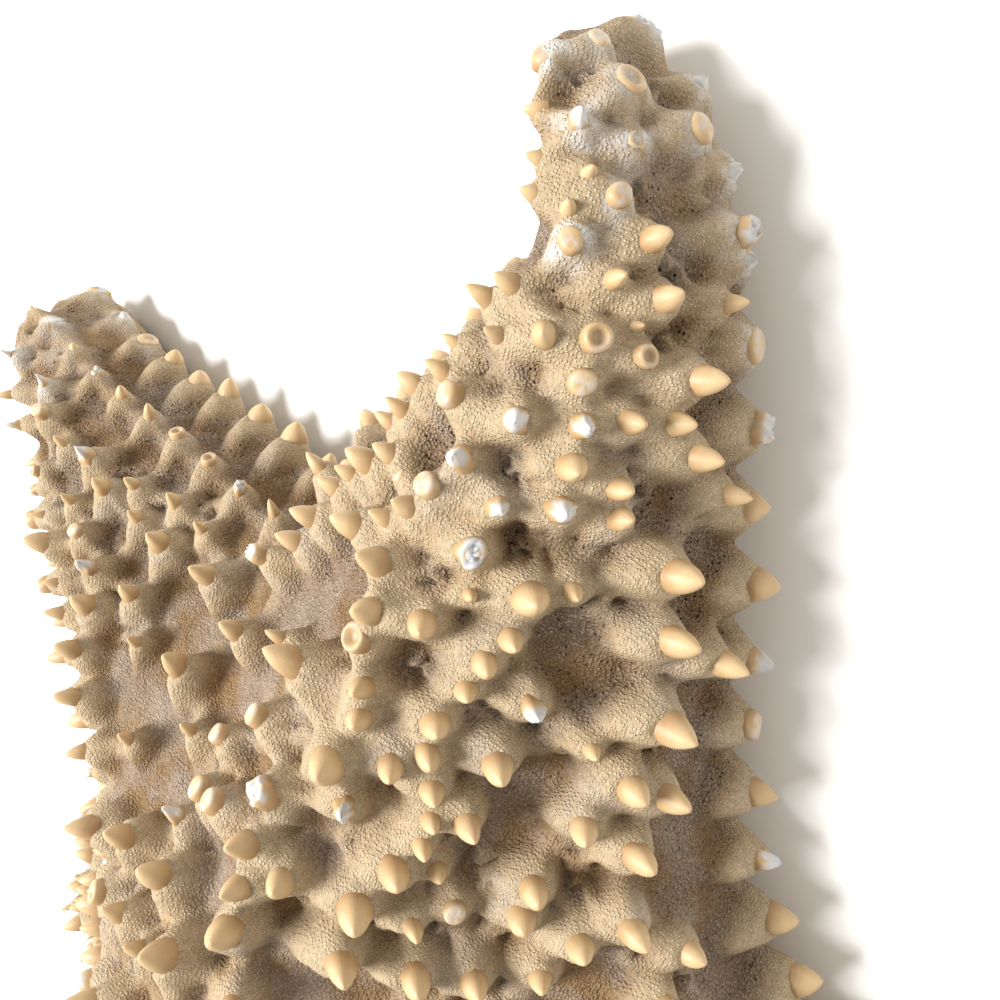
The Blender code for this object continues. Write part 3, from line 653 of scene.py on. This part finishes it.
# The knobbly back: one skin from the crest to under the rim, in millimetres.
backSkin = {
    "spacing": 0.58,
    "neighbours": 6,
    "collarHeight": 0.54,       # share of a knob's height that is granular collar
    "collarSpread": 1.3,        # radius of the collar's foot, as a share of the smooth end's
    "collarFoot": 2.1,
    "collarPower": 1.6,
    "collarJoin": 3,            # how sharply two collars meet, as a power
    "collarTint": (0.3, 2.5),   # between these heights the colour turns to the ridges'
    "tailPinch": 1.25,
    "tailSpan": 4,
    "collarTail": 1.0,          # how much longer a collar runs uphill where the knob leans right over
    "linkHeight": 0.7,
    "linkHalf": 0.8,
    "linkSpan": 11,
    "linkTint": 0.7,
    "sink": 1.1,
    "hollowStarts": 1.15,       # with hollowRise, the ground is hollow where collars are under about 1.7 high
    "hollowRise": 1.5,
    "linkFill": 0.6,
    "tipHollow": [(98, 1), (108, 0.5)],      # how far the hollows sink, by the distance from the middle
    "outer": [(40, 0.1), (75, 1)],           # how open and pitted they are
    "lumps": [(3.2, 1, 0.4), (1.5, 2, 0.2)],      # size, seed and height
    "hollowShades": [(6, 3, 0.5), (2.5, 7, 0.2)],
    "hollowDepth": 1.1,
    "seamFade": 2.0,
    "webFrom": 2.5,             # a rim edge longer than this cuts across the corner between two arms
    "webLap": 1.6,
    "webHeight": 5.2,
    "webEnds": 2,
    "webTint": 0.3,
    "chalkFrom": 98,
    "chalkSpan": 2.2,
    "chalkShare": 0.55,
    "chalkGrain": (1.2, 6),
}


def knobRadii():
    chance = random.Random(capSize["seed"])
    far = np.hypot(*knobPlaces.T)
    share = np.interp(far, *zip(*capSize["share"]))
    share = np.where([k[5] == knobPlan["edgeFoot"] for k in knobs], capSize["edgeShare"], share)
    share = share * np.where([k[4] == "c" for k in knobs], capSize["chippedShare"], 1)
    between = np.linalg.norm(knobBases[:, None, :] - knobBases, axis=2)
    np.fill_diagonal(between, bodyForm["commonReach"])
    full = np.array([k[5] for k in knobs])
    vary = np.array([chance.uniform(*capSize["spread"]) for k in knobs])
    return np.minimum(full * share * vary, between.min(1) * capSize["ofGap"])


capRadii = knobRadii()


def collarShape(points, gap, pick):
    tilt = np.hypot(*knobAxes[pick, :2].T)
    uphill = np.array([0, 0, 1]) - knobAxes[pick] * knobAxes[pick, 2:]
    uphill /= np.maximum(np.linalg.norm(uphill, axis=1), tiny)[:, None]
    above = np.clip(((points - knobBases[pick]) * uphill).sum(1), 0, None)
    tail = 1 + backSkin["collarTail"] * tilt
    beside = np.sqrt(np.maximum(gap ** 2 - above ** 2, 0))
    pinch = 1 + (backSkin["tailPinch"] - 1) * np.clip(above / backSkin["tailSpan"], 0, 1)
    gap = np.hypot(beside * pinch, above / tail)
    cap = capRadii[pick]
    reach = cap * backSkin["collarSpread"] + backSkin["collarFoot"]
    t = np.clip((reach - gap) / (reach - cap), 0, 1)
    return knobHeights[pick] * backSkin["collarHeight"] * t ** backSkin["collarPower"]


def cornerWebs(solid, faces):      # where two arms meet tightly, the rim cuts across, and a web closes it below
    sides = np.sort(np.vstack([faces[:, [0, 1]], faces[:, [1, 2]], faces[:, [2, 0]]]), axis=1)
    edges, uses = np.unique(sides, axis=0, return_counts=True)
    span = np.linalg.norm(solid[edges[:, 0]] - solid[edges[:, 1]], axis=1)
    cuts = edges[(uses == 1) & (span > backSkin["webFrom"])]
    ring = roughOutline
    ahead = np.roll(ring, -1, 0) - ring
    inward = np.c_[-ahead[:, 1], ahead[:, 0]] / np.hypot(*ahead.T)[:, None]
    webs, webFaces = [], []
    ends = backSkin["webEnds"]
    for a, b in cuts:
        i, j = (int(np.hypot(*(ring - solid[k][:2]).T).argmin()) for k in (a, b))
        if (j - i) % len(ring) > len(ring) / 2:
            i, j = j, i
        arc = (i + np.arange(-ends, (j - i) % len(ring) + ends + 1)) % len(ring)
        first = len(solid) + len(webs)
        webs.append((solid[a] + solid[b]) / 2)
        for k in arc:
            webs.append(np.r_[ring[k] + inward[k] * backSkin["webLap"], backSkin["webHeight"]])
        webFaces += [(first, first + k, first + k + 1) for k in range(1, len(arc))]
    print("webs over", len(cuts), "corners")
    return np.array(webs), np.array(webFaces)


def makeBack():
    b = backSkin
    reach = bodyForm["rimTurn"] * (bodyForm["rollEnd"] - 1)
    points, faces = hexGrid(b["spacing"], reach)
    solid = upperSkin(points)
    normals = meshNormals(solid, faces)
    gap, pick = nearestKnobs(solid, b["neighbours"])

    # collars joined smoothly, each leaning with its knob, and low ridges from knob to knob
    collars = np.stack([collarShape(solid, gap[:, k], pick[:, k]) for k in range(b["neighbours"])])
    weight = collars ** b["collarJoin"]
    raised = weight.sum(0) ** (1 / b["collarJoin"])
    weight = weight + 1e-9
    lean = (weight[:, :, None] * knobAxes[pick.T]).sum(0) / weight.sum(0)[:, None]
    link = np.zeros(len(points))
    for k in (1, 2):
        span = np.linalg.norm(knobBases[pick[:, 0]] - knobBases[pick[:, k]], axis=1)
        spare = gap[:, 0] + gap[:, k] - span
        link = np.maximum(link, np.exp(-(spare / b["linkHalf"]) ** 2) * (span < b["linkSpan"]))
    tintFrom, tintTo = b["collarTint"]
    collarShare = np.clip((raised - tintFrom) / (tintTo - tintFrom), 0, 1)

    # hollows between them, and uneven ground
    far = np.hypot(*points.T)
    hollow = smoothStep(b["hollowStarts"] - raised / b["hollowRise"]) * (1 - b["linkFill"] * link)
    hollow = hollow * np.interp(far, *zip(*b["tipHollow"]))
    lumps = sum(ripple(solid, size, seed) * height for size, seed, height in b["lumps"])
    fade = smoothStep((edgePlace(points)[1] + reach) / b["seamFade"])
    lift = (link * (1 - collarShare) * b["linkHeight"] - hollow * b["sink"] + lumps) * fade

    # what the material reads: chalk dust, how hollow, how raised and how far out
    chalkKnob = np.array([k[4] in "frbc" and math.hypot(k[0], k[1]) > b["chalkFrom"] for k in knobs])
    chalk = chalkKnob[pick[:, 0]] * np.exp(-(gap[:, 0] / b["chalkSpan"]) ** 2)
    chalk = chalk * (b["chalkShare"] + ripple(solid, *b["chalkGrain"]))
    (broad, broadSeed, broadDepth), (small, smallSeed, smallDepth) = b["hollowShades"]
    hollow = hollow * (b["hollowDepth"] + ripple(solid, broad, broadSeed) * broadDepth)
    hollow = np.clip(hollow + ripple(solid, small, smallSeed) * smallDepth, 0, 1)
    outer = np.interp(far, *zip(*b["outer"]))
    solid = solid + normals * lift[:, None] + lean * (raised * fade)[:, None]

    webs, webFaces = cornerWebs(solid, faces)
    plain = np.zeros(len(webs))
    marks = {"hollow": np.r_[hollow, plain + b["webTint"]],
             "collar": np.r_[np.maximum(collarShare, link * b["linkTint"]), plain + b["webTint"]],
             "chalk": np.r_[np.clip(chalk, 0, 1), plain],
             "outer": np.r_[outer, plain + b["webTint"]]}
    points, faces = inFrame(np.vstack([solid, webs])), np.vstack([faces, webFaces])
    return meshPiece("back_skin", points, faces, marks, skinMaterial)


# The smooth ends of the knobs, each turned from the foot up and a little uneven. A worn end is a list of
# steps, height and radius, and a whole one tapers by a power.
capForm = {
    "seed": 7,
    "sides": 16,
    "sunk": 0.9,
    "lean": 0.08,
    "oval": (0.92, 1.08),
    "steps": [0, 0.25, 0.45, 0.62, 0.76, 0.88, 0.96, 1],
    "taper": (1.4, 2.2),
    "round": 0.72,
    "worn": {
        "c": [(0, 1.0), (0.22, 0.96), (0.38, 0.82), (0.52, 0.7), (0.68, 0.5), (0.8, 0.36), (0.9, 0.2), (0.96, 0)],
        "f": [(0, 1.02), (0.25, 1.0), (0.45, 0.93), (0.54, 0.8), (0.57, 0.6), (0.58, 0.3), (0.58, 0)],
        "r": [(0, 1.05), (0.25, 1.0), (0.46, 0.92), (0.53, 0.78), (0.5, 0.58), (0.38, 0.36), (0.34, 0)],
        "b": [(0, 1.0), (0.3, 0.96), (0.5, 0.84), (0.62, 0.66), (0.56, 0.44), (0.66, 0.24), (0.6, 0)],
    },
    "jagged": {"w": 0.05, "c": 0.34, "f": 0.05, "r": 0.05, "b": 0.34},
    "jaggedRound": 1.3,         # how often the wobble turns round an end and up it
    "jaggedUp": 3,
    "chip": 1.8,
    "chipFrom": 0.5,
    "chipRound": 1.7,
    "bare": {"w": 0, "c": 0.75, "f": 0.35, "r": 0.2, "b": 0.85},
    "bareFrom": 0.48,           # where chalk starts, as a share of the end's height
    "bareSpan": 0.12,
    "bareWander": 0.3,
    "bareRound": 1.5,
}


def turnedFaces(first, rings, sides):      # rings of points from the first on, closed by one more at the tip
    faces = []
    for ring in range(rings - 1):
        for k in range(sides):
            a = first + ring * sides + k
            b = first + ring * sides + (k + 1) % sides
            faces += [(a, b, b + sides), (a, b + sides, a + sides)]
    last = first + (rings - 1) * sides
    return faces + [(last + k, last + (k + 1) % sides, last + sides) for k in range(sides)]


def makeCaps():
    f = capForm
    chance = random.Random(f["seed"])
    points, faces, bare, lift = [], [], [], []
    for knob, base, axis, radius in zip(knobs, knobBases, knobAxes, capRadii):
        x, y, height, wear = knob[0], knob[1], knob[3], knob[4]
        lean = Vector((chance.uniform(-f["lean"], f["lean"]), chance.uniform(-f["lean"], f["lean"]), 0))
        up = (Vector(axis) + lean).normalized()
        side = up.orthogonal().normalized()
        other = up.cross(side)
        start = height * backSkin["collarHeight"] - f["sunk"]
        reach = height - start
        oval = chance.uniform(*f["oval"])
        taper = chance.uniform(*f["taper"])
        profile = f["worn"].get(wear) or [(t, (1 - t ** taper) ** f["round"]) for t in f["steps"]]
        jagged = f["jagged"][wear]
        first = len(points)
        for t, r in profile[:-1]:
            for k in range(f["sides"]):
                a = 2 * math.pi * k / f["sides"]
                turn = Vector((math.cos(a), math.sin(a), 0))
                wobble = 1 + jagged * noise.noise(turn * f["jaggedRound"] + Vector((x, y, t * f["jaggedUp"])))
                chip = 0
                if t > f["chipFrom"]:
                    chip = jagged * f["chip"] * noise.noise(Vector((a * f["chipRound"], x, y + t)))
                out = side * turn.x * oval + other * turn.y / oval
                points.append(Vector(base) + up * (start + reach * t + chip) + out * radius * r * wobble)
                edge = f["bareWander"] * noise.noise(turn * f["bareRound"] + Vector((0, 0, x + y)))
                bare.append(float(f["bare"][wear] * smoothStep((t - f["bareFrom"] + edge) / f["bareSpan"])))
                # lift, the height up the end, darkens its lower part in the coat as painted shade
                lift.append(t)
        points.append(Vector(base) + up * (start + reach * profile[-1][0]))
        bare.append(f["bare"][wear])
        lift.append(profile[-1][0])
        faces += turnedFaces(first, len(profile) - 1, f["sides"])
    marks = {"bare": bare, "lift": lift}
    return meshPiece("knob_ends", inFrame([tuple(p) for p in points]), faces, marks, knobMaterial)


# The flat underside, in millimetres: the turn up to the rim, five furrows with a lip, and the mouth.
underSkin = {
    "spacing": 0.95,
    "seamTurn": 1.15,
    "flange": 2.0,           # it stands up behind the rim, so no gap opens between the arms
    "flangeLean": 0.6,
    "flangeRise": 1.6,
    "rise": 9.6,
    "furrowHalf": 4.2,
    "furrowDeep": 5.0,
    "furrowTaper": 0.4,
    "furrowStarts": -2,
    "furrowEnds": 9,         # how far short of the tip a furrow stops, and over what length it fades
    "furrowFade": 14,
    "lipHalf": 8.5,
    "lipRise": 1.5,
    "mouthHalf": 7.5,
    "mouthDeep": 7.0,
    "mouthEdge": 1.15,
    "plateSize": 4.0,        # small plates in the skin, raised by their thickness over lower joints
    "plateThick": 0.5,
    "plateEdge": 0.25,
    "plateTint": 1.2,
    "leastLift": 0.12,
    "grainSize": 1.6,
    "grainHeight": 0.1,
    "platedUpTo": 4,
    "furrowTint": 3,
}


def underSurface(points):
    u = underSkin
    near, distance, inward = edgePlace(points)
    band = bodyForm["underTurn"]
    turn = np.clip((band - distance) / band, 0, 1) * u["seamTurn"]
    flange = np.maximum(-distance, 0)
    inside = np.where(distance < band, band * (1 - np.sin(turn)), distance) + flange * u["flangeLean"]
    plan = near + inward * inside[:, None]
    height = u["rise"] * (1 - np.cos(turn)) + flange * u["flangeRise"]
    groove = np.zeros(len(points))
    lip = np.zeros(len(points))
    for i in range(5):
        across, along = armAxes(i)
        s = plan @ along
        w = np.abs(plan @ across - sideways(i, s))
        end = bodyForm["armReach"][i] - u["furrowEnds"]
        fade = smoothStep((end - s) / u["furrowFade"]) * (s > u["furrowStarts"])
        deep = fade * u["furrowDeep"] * (1 - u["furrowTaper"] * s / end)
        groove = np.maximum(groove, deep * smoothStep(1 - w / u["furrowHalf"]))
        beside = (u["lipHalf"] - w) / (u["lipHalf"] - u["furrowHalf"])
        lip = np.maximum(lip, fade * u["lipRise"] * smoothStep(beside))
    mouth = smoothStep(u["mouthEdge"] - np.hypot(*plan.T) / u["mouthHalf"])
    height = np.maximum(height, np.maximum(groove + lip, mouth * u["mouthDeep"]))
    return np.c_[plan, height], groove


def makeUnderside():
    u = underSkin
    points, faces = hexGrid(u["spacing"], u["flange"])
    solid, groove = underSurface(points)
    plates = np.abs(ripple(solid, u["plateSize"], 4))
    lift = plates * u["plateThick"] + u["leastLift"] + ripple(solid, u["grainSize"], 5) * u["grainHeight"]
    solid[:, 2] += lift * (solid[:, 2] < u["platedUpTo"])
    # the furrows take the darker hollow colour by their depth, and the joints between the plates are darker too
    low = np.clip(groove / u["furrowTint"] + (u["plateEdge"] - plates) * u["plateTint"], 0, 1)
    marks = {"hollow": low, "collar": np.clip(plates, 0, 1)}
    return meshPiece("under_skin", inFrame(solid), faces[:, ::-1], marks, skinMaterial)


# Short blunt spines in two rows along each side of the furrows, in millimetres. Each row has its
# distance from the furrow's middle, its length and its radius.
furrowSpines = {
    "seed": 11,
    "step": 1.9,
    "sides": 6,
    "rows": [(3.4, 2.4, 0.55), (5.4, 1.9, 0.75)],
    "starts": 9,
    "ends": 12,
    "stray": 0.3,
    "shrink": 0.45,          # how much smaller they are at the tip of the arm
    "rowPinch": 0.25,        # how much closer together the rows run there
    "lengths": (0.7, 0.5),
    "sunk": 0.3,
    "clear": 0.15,           # the least room left under a spine
    "lean": 0.28,
    "uneven": 0.1,
    "profile": [(0, 1), (0.5, 1.05), (0.85, 0.75)],
    "bare": 0.1,
}


def makeFurrowSpines():
    f = furrowSpines
    chance = random.Random(f["seed"])
    points, faces, lift = [], [], []
    for i in range(5):
        across, along = armAxes(i)
        end = bodyForm["armReach"][i] - f["ends"]
        rows = [(side, *row) for side in (-1, 1) for row in f["rows"]]
        for side, offset, length, radius in rows:
            for k in range(int((end - f["starts"]) / f["step"])):
                s = f["starts"] + k * f["step"] + chance.uniform(-f["stray"], f["stray"])
                shrink = 1 - f["shrink"] * s / end
                pinch = 1 - f["rowPinch"] + f["rowPinch"] * shrink
                spot = across * (side * offset * pinch + sideways(i, s)) + along * s
                top = underSurface(spot[None, :])[0][0][2] + f["sunk"]
                reach = min(length * (f["lengths"][0] + f["lengths"][1] * shrink), top - f["clear"])
                stray = [chance.uniform(-f["uneven"], f["uneven"]) for axis in "xy"]
                down = Vector((*(-across * side * f["lean"] + stray), -1))
                foot = Vector((*spot, top))
                faces += [face[::-1] for face in turnedFaces(len(points), len(f["profile"]), f["sides"])]
                for t, r in f["profile"]:
                    for m in range(f["sides"]):
                        a = 2 * math.pi * m / f["sides"]
                        out = Vector((math.cos(a), math.sin(a), 0)) * radius * shrink * r
                        points.append(foot + down * reach * t + out)
                        # lift, the share down the spine, also runs the coat's painted shade: darker at the foot
                        lift.append(t)
                points.append(foot + down * reach)
                lift.append(1)
    marks = {"bare": np.full(len(points), f["bare"]), "lift": lift}
    return meshPiece("furrow_spines", inFrame([tuple(p) for p in points]), faces, marks, knobMaterial)


print("growing the back skin")
backPiece = makeBack()
print("setting the knob ends")
capPiece = makeCaps()
print("closing the underside")
underPiece = makeUnderside()
print("setting the furrow spines")
spinePiece = makeFurrowSpines()
for piece in (backPiece, capPiece, underPiece, spinePiece):
    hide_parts("starfish")
    print(piece.name, "triangles", len(piece.data.polygons))


# A plain pale floor and soft daylight from the upper left of the picture, in metres.
stageSet = {
    "floorSize": 6.0,
    "floor": "#f4f4f2",
    "floorRoughness": 0.9,
    "sky": "#fffaf2",
    "skyStrength": 0.75,
    "keyAt": (0, 0.06, 0.03),
    "keyFrom": (-0.45, -0.1, 0.88),
    "keyDistance": 0.75,
    "keySize": 0.35,
    "keyPower": 12.5,
}

# The camera stands close over the arm, as a phone does. Its place is in millimetres, as the body's form is.
cameraSet = {
    "place": (37.9, 108.2, 87.3),
    "look": (-0.4327, -0.4376, -0.7882),
    "up": (-0.4799, 0.8519, -0.2095),
    "focalPixels": 755,
    "imagePixels": 1000,
    "sensor": 36,
    "nearest": 5,
}


def makeStage():
    s = stageSet
    mesh = bpy.data.meshes.new("floor")
    half = s["floorSize"] / 2
    mesh.from_pydata([(-half, -half, 0), (half, -half, 0), (half, half, 0), (-half, half, 0)], [], [(0, 1, 2, 3)])
    floor = bpy.data.objects.new("floor", mesh)
    bpy.context.collection.objects.link(floor)
    material, tree, shader = newMaterial("matt white board")
    shader.inputs["Base Color"].default_value = tone(s["floor"])
    shader.inputs["Roughness"].default_value = s["floorRoughness"]
    mesh.materials.append(material)
    world = bpy.data.worlds.new("soft daylight")
    world.use_nodes = True
    sky = world.node_tree.nodes["Background"]
    sky.inputs["Color"].default_value = tone(s["sky"])
    sky.inputs["Strength"].default_value = s["skyStrength"]
    bpy.context.scene.world = world
    bpy.context.scene.view_settings.view_transform = "Standard"
    lamp = bpy.data.lights.new("window", "AREA")
    lamp.shape = "DISK"
    lamp.size = s["keySize"]
    lamp.energy = s["keyPower"]
    window = bpy.data.objects.new("window", lamp)
    bpy.context.collection.objects.link(window)
    direction = Vector(s["keyFrom"]).normalized()
    window.location = Vector(s["keyAt"]) + direction * s["keyDistance"]
    window.rotation_euler = direction.to_track_quat("Z", "Y").to_euler()


def makeCamera():
    c = cameraSet
    eye = bpy.data.cameras.new("camera")
    eye.sensor_width = c["sensor"]
    eye.lens = c["focalPixels"] * c["sensor"] / c["imagePixels"]
    eye.clip_start = c["nearest"] * mm
    view = bpy.data.objects.new("camera", eye)
    bpy.context.collection.objects.link(view)
    back = -Vector(c["look"]).normalized()
    up = Vector(c["up"]).normalized()
    right = up.cross(back).normalized()
    up = back.cross(right)
    place = inFrame([c["place"]])[0]
    view.matrix_world = Matrix.Translation(place) @ Matrix((right, up, back)).transposed().to_4x4()
    bpy.context.scene.camera = view


print("setting the stage")
makeStage()
makeCamera()
